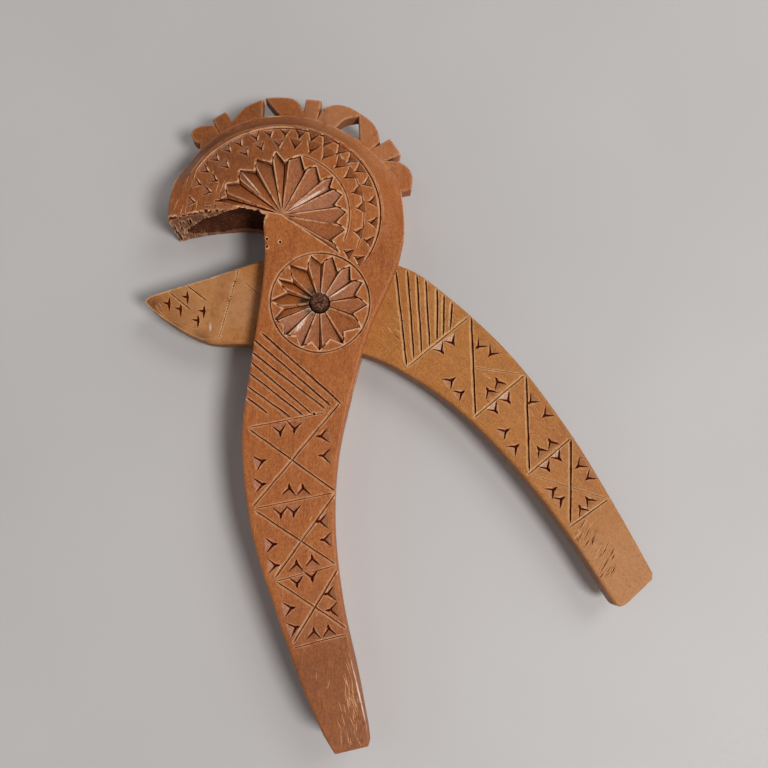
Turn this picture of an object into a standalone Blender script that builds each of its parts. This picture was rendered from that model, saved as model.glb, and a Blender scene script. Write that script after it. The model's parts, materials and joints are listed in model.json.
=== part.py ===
"""Carved wooden lever nutcracker: a slotted main lever, an inner lever and a wooden pivot peg.

It lies on its back on the plane z = 0. The origin is where the pivot axis meets that plane,
+Y runs along the main lever towards its head, and +Z is the pivot axis.
"""

import math

import bmesh
import bpy
from mathutils import Matrix, Vector
from mathutils.geometry import interpolate_bezier

MM = 0.001

BODY_THICKNESS = 19.0 * MM
LEVER_THICKNESS = 7.0 * MM
CREST_THICKNESS = 5.0 * MM
MID_PLANE = BODY_THICKNESS / 2

EDGE_ROLL = 0.9 * MM
CREST_ROLL = 0.35 * MM
SHOULDER_ROLL = (BODY_THICKNESS - CREST_THICKNESS) / 2
BEAK_ROLL = 2.2 * MM
ROLL_STEPS = 4
STEP_LENGTH = 3.0 * MM

SIDE_CLEARANCE = 0.4 * MM
SLOT_LOW = -26.0 * MM
SLOT_HIGH = 25.6 * MM
SLOT_LEFT = -25.0 * MM
SLOT_RIGHT = 40.0 * MM

PEG_RADIUS = 3.0 * MM
PEG_PROUD = 2.3 * MM
PEG_ROUNDING = 0.5 * MM
PEG_CLEARANCE = 0.2 * MM
ROUND_SEGMENTS = 48

# The fan-shaped head turns about this point, and its shoulder fades out between these angles.
HEAD_CENTRE = Vector((-11.4, 26.5)) * MM
SHOULDER_RIGHT = (5.0, 45.0)
SHOULDER_LEFT = (125.0, 172.0)

# The hollow that holds the nut, in the underside of the upper jaw.
HOLLOW_CENTRE = (-25.5 * MM, 24.5 * MM, MID_PLANE)
HOLLOW_RADII = (14.0 * MM, 7.5 * MM, 6.4 * MM)

SOFT = False
CORNER = True

# Outlines in millimetres, clockwise seen from the front. A line runs smoothly through a soft point.
BODY_OUTLINE = [
    (-45.6, 24.9, CORNER),
    (-45.4, 29.7, SOFT),
    (-42.9, 39.3, SOFT),
    (-37.4, 48.3, SOFT),
    (-29.6, 54.9, SOFT),
    (-20.6, 58.7, SOFT),
    (-11.0, 59.7, SOFT),
    (-0.5, 58.2, SOFT),
    (9.4, 53.4, SOFT),
    (18.0, 46.6, SOFT),
    (24.0, 39.5, SOFT),
    (25.5, 32.3, SOFT),
    (25.2, 17.9, SOFT),
    (21.5, 6.8, SOFT),
    (14.9, -8.0, SOFT),
    (9.8, -26.3, SOFT),
    (5.6, -46.5, SOFT),
    (4.7, -68.3, SOFT),
    (7.4, -92.3, SOFT),
    (12.0, -113.5, SOFT),
    (15.3, -131.0, CORNER),
    (14.7, -133.4, CORNER),
    (4.6, -135.8, CORNER),
    (1.2, -130.2, CORNER),
    (-5.0, -116.3, SOFT),
    (-13.4, -92.3, SOFT),
    (-20.6, -68.3, SOFT),
    (-23.4, -41.0, SOFT),
    (-20.4, -16.1, SOFT),
    (-17.7, 2.0, SOFT),
    (-16.5, 14.6, SOFT),
    (-17.1, 26.2, CORNER),
    (-20.6, 27.9, SOFT),
    (-32.6, 27.4, SOFT),
    (-41.6, 26.0, SOFT),
]

CREST_OUTLINE = [
    (-37.2, 48.0, CORNER),
    (-37.2, 51.3, CORNER),
    (-39.3, 52.4, SOFT),
    (-39.8, 54.8, SOFT),
    (-37.6, 56.5, SOFT),
    (-32.8, 57.1, CORNER),
    (-31.7, 55.5, CORNER),
    (-33.4, 58.8, CORNER),
    (-29.2, 61.2, CORNER),
    (-27.2, 58.3, CORNER),
    (-23.3, 62.5, SOFT),
    (-17.5, 65.1, CORNER),
    (-18.0, 58.5, CORNER),
    (-12.4, 59.8, CORNER),
    (-17.0, 65.3, CORNER),
    (-12.2, 65.6, SOFT),
    (-7.6, 64.7, SOFT),
    (-5.1, 61.2, CORNER),
    (-4.4, 65.0, CORNER),
    (0.5, 64.6, CORNER),
    (-0.7, 59.3, CORNER),
    (0.9, 62.2, CORNER),
    (5.5, 63.3, SOFT),
    (12.4, 60.6, SOFT),
    (17.2, 56.3, SOFT),
    (18.6, 52.0, CORNER),
    (16.3, 49.8, CORNER),
    (21.6, 52.8, CORNER),
    (25.0, 48.0, CORNER),
    (20.4, 46.0, CORNER),
    (24.4, 45.6, SOFT),
    (28.2, 42.2, SOFT),
    (28.3, 37.0, CORNER),
    (25.3, 36.4, CORNER),
    (19.0, 36.0, CORNER),
    (10.0, 47.0, SOFT),
    (-11.0, 53.0, SOFT),
    (-30.0, 47.0, SOFT),
]

CREST_WINDOW = [
    (4.9, 56.3, CORNER),
    (7.6, 58.6, SOFT),
    (11.9, 59.6, CORNER),
    (12.2, 52.6, CORNER),
    (8.0, 54.6, SOFT),
]

LEVER_OUTLINE = [
    (-54.2, 2.2, CORNER),
    (-52.7, 3.7, SOFT),
    (-32.8, 9.9, SOFT),
    (-19.4, 14.3, SOFT),
    (4.0, 18.6, SOFT),
    (24.3, 13.3, SOFT),
    (33.8, 8.3, SOFT),
    (57.5, -12.9, SOFT),
    (76.6, -37.5, SOFT),
    (91.7, -62.1, SOFT),
    (102.6, -81.6, CORNER),
    (102.4, -83.6, CORNER),
    (95.0, -90.7, SOFT),
    (92.6, -92.0, SOFT),
    (90.6, -90.8, SOFT),
    (80.1, -74.7, SOFT),
    (66.0, -55.7, SOFT),
    (48.8, -36.7, SOFT),
    (33.0, -24.0, SOFT),
    (13.7, -14.2, SOFT),
    (-3.0, -14.0, SOFT),
    (-22.5, -11.0, SOFT),
    (-34.2, -10.6, SOFT),
    (-43.1, -6.7, SOFT),
    (-51.9, -0.3, SOFT),
]


def clear_scene():
    for obj in list(bpy.data.objects):
        bpy.data.objects.remove(obj, do_unlink=True)


def new_collection(name):
    collection = bpy.data.collections.new(name)
    bpy.context.scene.collection.children.link(collection)
    return collection


def wood(name, colour, roughness):
    """Oiled or bare wood as one Principled material."""
    material = bpy.data.materials.new(name)
    material.use_nodes = True
    shader = material.node_tree.nodes["Principled BSDF"]
    shader.inputs["Base Color"].default_value = (*colour, 1.0)
    shader.inputs["Roughness"].default_value = roughness
    shader.inputs["Metallic"].default_value = 0.0
    return material


def object_from_bmesh(name, bm, collection):
    bmesh.ops.recalc_face_normals(bm, faces=bm.faces)
    mesh = bpy.data.meshes.new(name)
    bm.to_mesh(mesh)
    bm.free()
    obj = bpy.data.objects.new(name, mesh)
    collection.objects.link(obj)
    return obj


def make_cutter(obj):
    obj.hide_render = True
    obj.display_type = "WIRE"
    return obj


def add_boolean(obj, other, operation):
    modifier = obj.modifiers.new(f"{operation.lower()} {other.name}", "BOOLEAN")
    modifier.operation = operation
    modifier.solver = "EXACT"
    modifier.object = other


def smoothstep(low, high, value):
    t = min(max((value - low) / (high - low), 0.0), 1.0)
    return t * t * (3.0 - 2.0 * t)


def handle(point, corner, before, after, towards):
    """A third of the way to the next point, along the line at a corner and along the tangent elsewhere."""
    reach = (towards - point).length / 3.0
    if corner:
        return point + (towards - point).normalized() * reach
    tangent = (after - before).normalized()
    return point + tangent * (reach if towards is after else -reach)


def polyline_of(outline):
    """The outline's points, with the curved spans divided into short steps."""
    points = [Vector((x, y)) * MM for x, y, _ in outline]
    corners = [corner for _, _, corner in outline]
    count = len(points)
    line = []
    for i in range(count):
        j = (i + 1) % count
        start, end = points[i], points[j]
        leave = handle(start, corners[i], points[i - 1], end, end)
        arrive = handle(end, corners[j], start, points[(j + 1) % count], start)
        straight = corners[i] and corners[j]
        steps = 1 if straight else max(2, round((end - start).length / STEP_LENGTH))
        line += interpolate_bezier(start, leave, arrive, end, steps + 1)[:-1]
    return line


def inward_shifts(line):
    """For each point of a clockwise line, the shift that moves both of its sides in by one unit."""
    shifts = []
    for i, point in enumerate(line):
        first = (point - line[i - 1]).normalized()
        second = (line[(i + 1) % len(line)] - point).normalized()
        bisector = (Vector((first.y, -first.x)) + Vector((second.y, -second.x))).normalized()
        cosine = max(bisector.dot(Vector((first.y, -first.x))), 0.6)
        shifts.append(bisector / cosine)
    return shifts


def rolled_plate(name, outline, thickness, roll_at, collection):
    """A plate about the mid plane whose front and back rims roll over by roll_at(point)."""
    line = polyline_of(outline)
    shifts = inward_shifts(line)
    turns = [math.radians(90.0) * step / ROLL_STEPS for step in range(ROLL_STEPS + 1)]
    levels = [(turn, -1) for turn in reversed(turns)] + [(turn, 1) for turn in turns]
    bm = bmesh.new()
    rings = []
    for turn, side in levels:
        ring = []
        for point, shift in zip(line, shifts):
            roll = roll_at(point)
            x, y = point + shift * roll * (1.0 - math.cos(turn))
            height = thickness / 2 - roll * (1.0 - math.sin(turn))
            ring.append(bm.verts.new((x, y, MID_PLANE + side * height)))
        rings.append(ring)
    for lower, upper in zip(rings, rings[1:]):
        for i in range(len(line)):
            bm.faces.new((lower[i - 1], lower[i], upper[i], upper[i - 1]))
    bm.faces.new(rings[0])
    bm.faces.new(rings[-1])
    return object_from_bmesh(name, bm, collection)


def body_roll(point):
    """The head's top rolls right down to the crest, and the other edges are only eased."""
    angle = math.degrees(math.atan2(point.y - HEAD_CENTRE.y, point.x - HEAD_CENTRE.x))
    fade_right = smoothstep(*SHOULDER_RIGHT, angle)
    fade_left = 1.0 - smoothstep(*SHOULDER_LEFT, angle)
    return EDGE_ROLL + (SHOULDER_ROLL - EDGE_ROLL) * fade_right * fade_left


def lever_roll(point):
    """The beak's lower edge is rounder than the rest of the inner lever."""
    below = 1.0 - smoothstep(-8.0 * MM, 2.0 * MM, point.y)
    beyond_neck = 1.0 - smoothstep(-32.0 * MM, -22.0 * MM, point.x)
    return EDGE_ROLL + (BEAK_ROLL - EDGE_ROLL) * below * beyond_neck


def bezier_spline(curve, outline):
    spline = curve.splines.new("BEZIER")
    spline.bezier_points.add(len(outline) - 1)
    spline.use_cyclic_u = True
    for bezier_point, (x, y, corner) in zip(spline.bezier_points, outline):
        bezier_point.co = (x * MM, y * MM, 0.0)
        kind = "VECTOR" if corner else "AUTO"
        bezier_point.handle_left_type = kind
        bezier_point.handle_right_type = kind


def crest_plate(collection):
    """The thin comb over the head: lobes, square teeth and leaves, with one pierced window."""
    curve = bpy.data.curves.new("crest", "CURVE")
    curve.dimensions = "2D"
    curve.fill_mode = "BOTH"
    curve.resolution_u = 4
    curve.extrude = CREST_THICKNESS / 2 - CREST_ROLL
    curve.bevel_depth = CREST_ROLL
    curve.bevel_resolution = 0
    curve.offset = -CREST_ROLL
    bezier_spline(curve, CREST_OUTLINE)
    bezier_spline(curve, CREST_WINDOW)
    source = bpy.data.objects.new("crest_curve", curve)
    source.location.z = MID_PLANE
    collection.objects.link(source)
    bpy.context.view_layer.update()

    graph = bpy.context.evaluated_depsgraph_get()
    mesh = bpy.data.meshes.new_from_object(source.evaluated_get(graph))
    bm = bmesh.new()
    bm.from_mesh(mesh)
    bmesh.ops.remove_doubles(bm, verts=bm.verts, dist=1e-6)
    bpy.data.meshes.remove(mesh)
    crest = object_from_bmesh("crest", bm, collection)
    crest.matrix_world = source.matrix_world
    bpy.data.objects.remove(source, do_unlink=True)
    return make_cutter(crest)


def slot_cutter(collection):
    """The slot that the inner lever swings in: open at both sides of the neck."""
    size = (SLOT_RIGHT - SLOT_LEFT, SLOT_HIGH - SLOT_LOW, LEVER_THICKNESS + 2 * SIDE_CLEARANCE)
    centre = ((SLOT_LEFT + SLOT_RIGHT) / 2, (SLOT_LOW + SLOT_HIGH) / 2, MID_PLANE)
    bm = bmesh.new()
    bmesh.ops.create_cube(bm, size=1.0, matrix=Matrix.Translation(centre) @ Matrix.Diagonal((*size, 1.0)))
    return make_cutter(object_from_bmesh("slot", bm, collection))


def hollow_cutter(collection):
    bm = bmesh.new()
    bmesh.ops.create_uvsphere(
        bm,
        u_segments=32,
        v_segments=20,
        radius=1.0,
        matrix=Matrix.Translation(HOLLOW_CENTRE) @ Matrix.Diagonal((*HOLLOW_RADII, 1.0)),
    )
    return make_cutter(object_from_bmesh("hollow", bm, collection))


def cylinder(name, radius, low, high, collection):
    bm = bmesh.new()
    bmesh.ops.create_cone(
        bm,
        cap_ends=True,
        segments=ROUND_SEGMENTS,
        radius1=radius,
        radius2=radius,
        depth=high - low,
        matrix=Matrix.Translation((0.0, 0.0, (low + high) / 2)),
    )
    return object_from_bmesh(name, bm, collection)


def peg_hole_cutter(collection):
    radius = PEG_RADIUS + PEG_CLEARANCE
    return make_cutter(cylinder("peg_hole", radius, -BODY_THICKNESS, 2 * BODY_THICKNESS, collection))


def build_main_lever(parts, cutters, peg_hole):
    lever = rolled_plate("main_lever", BODY_OUTLINE, BODY_THICKNESS, body_roll, parts)
    add_boolean(lever, crest_plate(cutters), "UNION")
    add_boolean(lever, slot_cutter(cutters), "DIFFERENCE")
    add_boolean(lever, hollow_cutter(cutters), "DIFFERENCE")
    add_boolean(lever, peg_hole, "DIFFERENCE")
    lever.data.materials.append(wood("reddish_wood", (0.38, 0.15, 0.05), 0.45))
    return lever


def build_inner_lever(parts, peg_hole):
    lever = rolled_plate("inner_lever", LEVER_OUTLINE, LEVER_THICKNESS, lever_roll, parts)
    add_boolean(lever, peg_hole, "DIFFERENCE")
    lever.data.materials.append(wood("honey_wood", (0.50, 0.25, 0.09), 0.5))
    return lever


def build_pivot_peg(parts):
    peg = cylinder("pivot_peg", PEG_RADIUS, 0.0, BODY_THICKNESS + PEG_PROUD, parts)
    rounding = peg.modifiers.new("rounded ends", "BEVEL")
    rounding.width = PEG_ROUNDING
    rounding.segments = 2
    rounding.limit_method = "ANGLE"
    rounding.angle_limit = math.radians(60.0)
    peg.data.materials.append(wood("dark_wood", (0.10, 0.04, 0.02), 0.7))
    return peg


def main():
    clear_scene()
    parts = new_collection("nutcracker")
    cutters = new_collection("cutters")
    peg_hole = peg_hole_cutter(cutters)
    pieces = [
        build_main_lever(parts, cutters, peg_hole),
        build_inner_lever(parts, peg_hole),
        build_pivot_peg(parts),
    ]
    for piece in pieces:
        piece.data.shade_smooth()
        piece.data.set_sharp_from_angle(angle=math.radians(35.0))


main()
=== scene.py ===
"""Looks of a carved wooden lever nutcracker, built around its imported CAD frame.

Places and sizes are in millimetres, seen from the front with the pivot at the origin, unless a comment says
metres. Angles are in degrees, anticlockwise from +X.
"""

import json
import math
import random
from collections import Counter
from itertools import product

import bmesh
import bpy
from mathutils import Matrix, Vector, noise

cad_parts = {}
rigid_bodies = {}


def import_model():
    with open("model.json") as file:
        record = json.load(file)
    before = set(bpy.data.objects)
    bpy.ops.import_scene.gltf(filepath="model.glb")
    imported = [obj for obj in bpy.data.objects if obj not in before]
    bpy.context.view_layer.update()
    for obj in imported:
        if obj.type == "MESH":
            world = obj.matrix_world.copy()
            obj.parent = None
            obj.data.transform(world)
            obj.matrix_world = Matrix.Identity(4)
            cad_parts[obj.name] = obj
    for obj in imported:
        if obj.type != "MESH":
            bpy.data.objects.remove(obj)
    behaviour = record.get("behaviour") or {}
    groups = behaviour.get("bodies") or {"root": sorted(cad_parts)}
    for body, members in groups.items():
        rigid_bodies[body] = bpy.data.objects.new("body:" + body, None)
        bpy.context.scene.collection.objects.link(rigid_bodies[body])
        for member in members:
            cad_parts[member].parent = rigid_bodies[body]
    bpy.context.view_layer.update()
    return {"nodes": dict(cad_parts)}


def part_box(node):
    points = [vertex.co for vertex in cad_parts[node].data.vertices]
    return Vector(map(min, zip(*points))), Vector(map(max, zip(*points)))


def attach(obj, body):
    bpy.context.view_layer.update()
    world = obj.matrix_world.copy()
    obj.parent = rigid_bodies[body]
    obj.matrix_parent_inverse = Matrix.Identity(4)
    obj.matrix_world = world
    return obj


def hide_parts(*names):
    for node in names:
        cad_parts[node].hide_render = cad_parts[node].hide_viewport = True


MM = 0.001
TAU = math.tau

# Heights of the carved fronts above the plane that the object lies on.
MAIN_FRONT = 19.0
INNER_FRONT = 13.0
BEAK_FRONT = 12.2

# A cutter stands this far out of the surface, and the corners of a chip end this far under it.
SKIRT = 0.4
LIP = 0.03

# The knife's last stab along the bottom of a cut: its width, how much deeper it goes, and its wedge's height.
STAB_WIDTH = 0.36
STAB_DEPTH = 0.3
STAB_RISE = 0.4

# The stained bottom of a groove, dark as stain and as painted shade: shares of the width, how far right it
# lies, onto the wall that faces away from the lamps, and its share of the depth.
DARK_SHARE = 0.68
THIN_DARK_SHARE = 0.45
SHADE_SIDE_SHIFT = 0.24
STAIN_REACH = 1.25

# How much varies in work by hand. The first two are shares.
GROOVE_UNEVEN = 0.15
DEPTH_UNEVEN = 0.12
CORNER_WOBBLE = 0.12
HEADING_WOBBLE = 6.0

# How grooves fade at their ends, the angle between points of a curved one, and a straight one's wobble.
FADED_END = 0.15
CURVE_STEP = 3
LINE_WOBBLE = 0.07
LINE_STOP = 3.0
LINE_FADE = 1.2

# The shares of a chip's stabs at its corners and at its deepest point.
CHIP_STABS = (0.1, 1.0)

# Stars: the arms' headings and lengths, and along an arm its shares of the length and of the depth.
STAR_WIDTH = 1.0
STAR_DEPTH = 0.7
STAR_ARMS = [(90, 1.9), (-88, 2.3), (170, 2.0)]
STAR_WOBBLE = 0.2
STAR_PROFILE = [(0.0, 1.0), (0.5, 0.7), (1.0, 0.12)]

# Sunbursts: how deep the ridges are and how near the valleys, and how much less deep it is between two rays.
RIDGE_DEPTH = 0.1
STEEP_SHARE = 0.3
MIDDLE_SHARE = 0.5
# A place on the rim that is deeper than this ends a valley, and stabs run along the rim and the valleys.
VALLEY_DEPTH = 1.3
RIM_STABS = (0.8, 0.8)
VALLEY_STABS = (0.35, 0.9)
VALLEY_START = 0.12

# A nick's turn in radians, and how lopsided it is.
NICK_TURN = 0.5
NICK_UNEVEN = 0.35

# Scratches: how far their headings and middles stray, and their share of the depth at the ends.
SCRATCH_TURN = 12.0
SCRATCH_WOBBLE = 0.1
SCRATCH_END = 0.2

# Points nearer to each other than this, in metres, are welded.
WELD_REACH = 1e-6

# Edges flatter than these are shaded smooth: those of the plain surface, and those of the carving.
PLAIN_SMOOTH = 35.0
CARVED_SMOOTH = 9.0

# Slots of the materials on a carved piece.
SURFACE_SLOT, GROOVE_SLOT, FACET_SLOT, CHIP_SLOT, STAIN_AND_SHADE_SLOT, HOLLOW_SLOT = range(6)
CARVED_SLOTS = (GROOVE_SLOT, FACET_SLOT, CHIP_SLOT, STAIN_AND_SHADE_SLOT)
SCRATCH_SLOTS = (FACET_SLOT, FACET_SLOT, GROOVE_SLOT, STAIN_AND_SHADE_SLOT)
PALE_SCRATCH_SLOTS = (GROOVE_SLOT, GROOVE_SLOT, FACET_SLOT)
RAMP_SLOTS = (HOLLOW_SLOT, CHIP_SLOT, HOLLOW_SLOT, GROOVE_SLOT)

# ---- Design of the carving ----

NOTCH, TIP = "notch", "tip"

ROSETTE_CENTRE = Vector((0, 0))
ROSETTE_TIP = 14.4
ROSETTE_RING = 14.9
RING_STEP = 4
# Each ray: the angle of its first tip, the angle and distance of the notch after it, and its valley's end.
ROSETTE_RAYS = [
    (-160, -148, 12.6, TIP), (-138, -124, 11.9, TIP), (-113, -102, 11.9, TIP),
    (-90, -74, 11.3, TIP), (-60, -50, 11.3, TIP), (-31, -18, 10.7, NOTCH), (-3, 12, 11, NOTCH),
    (25, 36, 11.6, NOTCH), (50, 60, 10.9, NOTCH), (74, 88, 11.8, NOTCH), (100, 111, 10.5, NOTCH),
    (128, 142, 10, NOTCH), (150, 162, 10.2, NOTCH), (177, 189, 10.9, NOTCH),
]

FAN_CENTRE = Vector((-11.4, 26.5))
FAN_LAST_TIP = (169, 20.4)
# Each ray: the angle and distance of its first tip, then those of the notch where its valley ends.
FAN_RAYS = [
    (-34, 21, -27, 17), (-14, 19.7, -8, 16.7), (2, 19.5, 10, 16.2), (18, 19.2, 29, 16.7),
    (36, 19.3, 41, 15.4), (54, 17.8, 63, 15.2), (72, 18.6, 87, 15.8), (95, 18.9, 101, 15.8),
    (114, 18.2, 121, 15.2), (133, 18.2, 143, 16), (151, 18.9, 162, 17.3),
]

# The head's outer line is an ellipse about the fan's centre, and the rows of chips follow it.
HEAD_ELLIPSE = (29.5, 25.9)
OUTER_LINE = (-30, 112)
FAINT_OUTER_LINE = (112, 154)
# Two lines right of the fan. The first comes nearer to the fan's centre round the bend.
FIRST_LINE = (-24, 72)
FIRST_RADIUS, FIRST_SINK = 20.2, 1.4
FIRST_BEND = (10, 70)
SECOND_LINE = (-24, 27)
SECOND_RADIUS = 24.6
# Each row: its share of the ellipse, and the angles of its chips.
HEAD_ROWS = [
    (0.75, [-30, -13, 5, 17, 30, 41, 53, 65, 79, 93, 108, 121, 139, 153, 163]),
    (0.88, [-30, -17, -5, 8, 20, 30, 38, 47, 58, 68, 77, 88, 99, 109, 121, 130, 140, 150, 160, 172]),
]
# Between these angles the rows' chips become crisp, then dull, then worn towards the jaw's tip, and lean.
ROW_CRISP = (10, 35)
ROW_DULL = (60, 90)
ROW_WORN = (85, 130)
ROW_LEAN = (60, 95)

# Outside the outer line the head slopes down to the crest's front, and the slope fades out at its right and
# left ends. Each step: a share of the ellipse, then a depth.
SLOPE_RIGHT = (-14, 14)
SLOPE_LEFT = (146, 172)
SLOPE_STEP = 2
SLOPE_PROFILE = [
    (1.03, 0), (1.06, 1), (1.1, 2.7), (1.15, 4.7), (1.2, 6.1), (1.25, 6.8), (1.31, 6.93),
    (1.6, 6.93),
]

NECK_PITS = [(-15.8, 19.1), (-11.8, 18.2), (-15.8, 16.7), (-1.6, -33.4)]
PIT_HALVES = (0.35, 0.35, 0.5)

# The rough hollow under the upper jaw: centre and radii of each scoop.
HOLLOWS = [
    ((-25.5, 24.5, 9.5), (14, 7.5, 6.4)),
    ((-23, 24.6, 11.4), (11, 6.6, 8.7)),
    ((-32.5, 23.8, 7.2), (10, 6, 5.6)),
]

# The upper jaw's lower edge: its height, how much it falls round the bend, and X where it is chewed.
JAW_EDGE = 27.6
JAW_FALL = 2.2
JAW_BEND = (-33, -45)
CHEWED_EDGE = (-47, -17.5)
CHEWED_RAMP = (-50, -30)
EDGE_NICKS = 84
RAMP_NICKS = 110

# Pairs of chips: the way they point, then their two centres.
MAIN_CHIPS = [
    (-88, (-12, -37.8), (-7.5, -36.8)), (180, (1.5, -39.9), (2.1, -46)),
    (15, (-18.3, -48), (-18.3, -54.7)), (94, (-9.2, -56.8), (-4.9, -56.7)),
    (-85, (-11.8, -62.5), (-7.8, -62)), (8, (-15, -72.7), (-14.3, -79)),
    (-175, (1.2, -65.6), (2.5, -71.1)), (95, (-6.9, -79.5), (-2.2, -78)),
    (-86, (-6.9, -83.3), (-2.4, -81.5)), (14, (-9.6, -91.9), (-8.2, -97.9)),
    (-171, (3.5, -87.3), (4.3, -92.1)), (96, (-1.7, -99.8), (2.9, -99)),
]
INNER_CHIPS = [
    (-52, (40.2, -9.7), (36.8, -12.3)), (36, (39.8, -22.8), (42.7, -26.5)),
    (-135, (49.5, -11), (53.2, -13.2)), (125, (55.1, -23.4), (52.3, -26.1)),
    (-52, (57.3, -27.6), (53.4, -30.7)), (36, (56.4, -38.4), (59.6, -43.3)),
    (-140, (65.6, -28), (70.1, -32.2)), (125, (71.4, -42), (68.1, -44.3)),
    (-52, (72.9, -45.4), (69.5, -48.5)), (33, (71.1, -56.5), (73.5, -59.3)),
    (-145, (80.4, -47.9), (83.3, -51.6)), (125, (83.1, -59.7), (80.8, -62.5)),
]
BEAK_STARS = [(-46.7, 1.6), (-43.1, -0.1), (-41, 3.6), (-35.9, -0.7), (-37.7, -3.6)]

# Straight cuts: their two ends.
NECK_CUTS = [
    ((-17.7, -9), (6.6, -30.6)), ((-20.4, -10.7), (3.4, -31.2)), ((-21, -14.5), (1.9, -32.2)),
    ((-21.5, -17.3), (-2.4, -33.5)), ((-22, -20.6), (-4.8, -34.1)), ((-22.6, -24.6), (-8.7, -34.6)),
    ((-22.6, -28.2), (-15.4, -33.5)),
]
MAIN_CUTS = [
    ((-21.5, -37.9), (5.4, -57.3)), ((-19.4, -62.6), (4.8, -78.6)), ((-13.1, -83.8), (8.1, -97.9)),
]
MAIN_CLEAN_CUTS = [
    ((6.2, -29.8), (-20.2, -61.4)), ((6.4, -54.9), (-13.6, -82.7)), ((5.6, -79.6), (-8.1, -102.3)),
]
MAIN_FAINT_CUTS = [
    ((-21.3, -37.5), (1.9, -32.9)), ((-19.7, -61.8), (4, -57.1)), ((-13.3, -83.6), (4.8, -78.9)),
    ((-8.1, -103.7), (8.4, -99.5)),
]
SHOULDER_CUTS = [
    ((23, 11.8), (26.4, -17.7)), ((26.6, 11.8), (28.7, -15.8)), ((29.5, 10.6), (31, -13.9)),
    ((32.2, 9.1), (33.5, -11.9)), ((35.8, 6.4), (35.8, -10)), ((37.9, 4.5), (37.7, -8.5)),
    ((40.4, 2.2), (39.8, -6.6)),
]
INNER_CLEAN_CUTS = [
    ((26.6, -18.2), (45.9, -2.4)), ((47.1, -33.8), (62.9, -20.4)), ((63.7, -51.4), (77.2, -39.9)),
    ((76.6, -67.5), (88.8, -58.7)),
]
INNER_CUTS = [
    ((46.3, -2.4), (47.5, -33)), ((63.2, -20.8), (64.2, -50.2)), ((77, -40.3), (76.8, -66.3)),
]
FAINT_INNER_CUTS = [
    ((65.1, -51.4), (88.4, -58.7)), ((47.1, -18.1), (62.8, -20.4)), ((51.6, -19.3), (54, -19.5)),
]
BEAK_CUTS = [
    ((-47, 5.2), (-39.7, -0.7)), ((-41.6, 7.3), (-34.8, 2.2)),
]

# The beak's front is shaved lower beyond a line across it: the slope's start and run, and the cutter's reach.
SHAVE_LINE = ((-24.4, 13), (-31.1, -9.2))
SHAVE_START = 1.0
SHAVE_RUN = 5.0
SHAVE_STEPS = 8
SHAVE_LIP = 0.02
SHAVE_END = 40.0
SHAVE_PAST = 20.0
# The dotted line where that slope begins.
BEAK_FOLD = ((-25.1, 12.3), (-31.3, -9.6))
DOT_STEP = 0.8
HUB_SCRATCHES = [((-23.6, 8.2), (-17.9, 3.2))]
BEAK_SCRATCHES = [
    ((-50.9, 1.2), (-48.2, -2.3)), ((-49.9, 2.1), (-47.9, -0.4)), ((-46, -3.4), (-38, -6.2)),
]

# Patches of scratches: how many, the middle, the spread along X and Y, the heading and the lengths.
MAIN_SCRATCHES = [
    (44, (-39, 35), (10, 8.5), 75, (1.5, 6)),
    (12, (-30, 29.6), (4.5, 0.9), 4, (3, 7)),
    (16, (-29, 33.5), (5, 3.5), 150, (1.5, 4)),
    (10, (-2, -66), (5, 28), 55, (1, 3)),
    (8, (3, -113), (4, 8), 85, (2, 4)),
]
MAIN_PALE_SCRATCHES = [
    (20, (9.3, -115), (1.8, 8), 103, (2, 6)),
    (26, (9, -125.5), (3.2, 6.5), 105, (2, 6)),
]
INNER_HATCHES = [
    (36, (82, -71), (3.2, 4.5), 60, (2, 5)),
    (36, (87, -79), (3.6, 5), 60, (2, 5.5)),
]
INNER_SCRATCHES = [
    (14, (23.5, -6), (3, 6), -42, (2, 5)),
    (16, (58, -27), (9, 9), -35, (1, 3.5)),
]

# The peg: its sides and crown's rings, the knife's flats, the crushed end and the dent in its middle, the gap
# to the CAD peg's end, and the heights between which it darkens.
PEG_SIDES = 64
CROWN_RINGS = 12
WHITTLE_DEPTH = 0.035
WHITTLE_FLATS = 7
CRUSHED_LENGTH = 1.0
PEG_DENT = 0.5
PEG_MARGIN = 0.01
PEG_DARK_BELOW = (20.6, 19)
PEG_SMOOTH = 40.0

# ---- Design of the colours ----

# Darker and paler places: centre, core, edge, colour and share.
DARKENED = (0.12, 0.032, 0.009, 1)
PALER = (0.5, 0.235, 0.095, 1)
PALER_RED = (0.5, 0.235, 0.11, 1)
RED_SPOTS = [
    ((-44, 34, 19), 8, 30, DARKENED, 0.55),
    ((-24, 52, 14), 8, 26, DARKENED, 0.7),
    ((-2, 54, 14), 2, 16, DARKENED, 0.45),
    # The main handle's lower end: darker wood, and painted shade where the light falls off.
    ((2, -124, 19), 12, 45, DARKENED, 0.55),
    # Left of the peg: painted shadow of the peg and shade in the gap round it, with dirt.
    ((-2.2, 0.6, 18.6), 2.8, 5.2, (0.012, 0.007, 0.005, 1), 1),
    # Under the upper jaw: painted shade, with dirt.
    ((-38, 18, 8), 9, 14.5, DARKENED, 0.5),
    ((-25, 18, 3), 6, 14, DARKENED, 0.7),
    ((5, 60, 12), 4, 14, PALER_RED, 0.5),
    ((20, 50, 12), 4, 14, PALER_RED, 0.4),
]
HONEY_SPOTS = [
    ((94, -80, 13), 8, 26, PALER, 0.45),
    ((-32, 2, 12.5), 8, 20, PALER, 0.7),
    ((-22, 1, 13), 3, 9.5, PALER_RED, 0.5),
    ((-53, 1, 12), 1, 6, DARKENED, 0.85),
    ((-45, 0.5, 12), 2, 9, DARKENED, 0.28),
    ((-46, -6.5, 12), 1.5, 5, DARKENED, 0.6),
    ((-37.5, -9.8, 12), 1.5, 4.5, DARKENED, 0.6),
]
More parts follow.
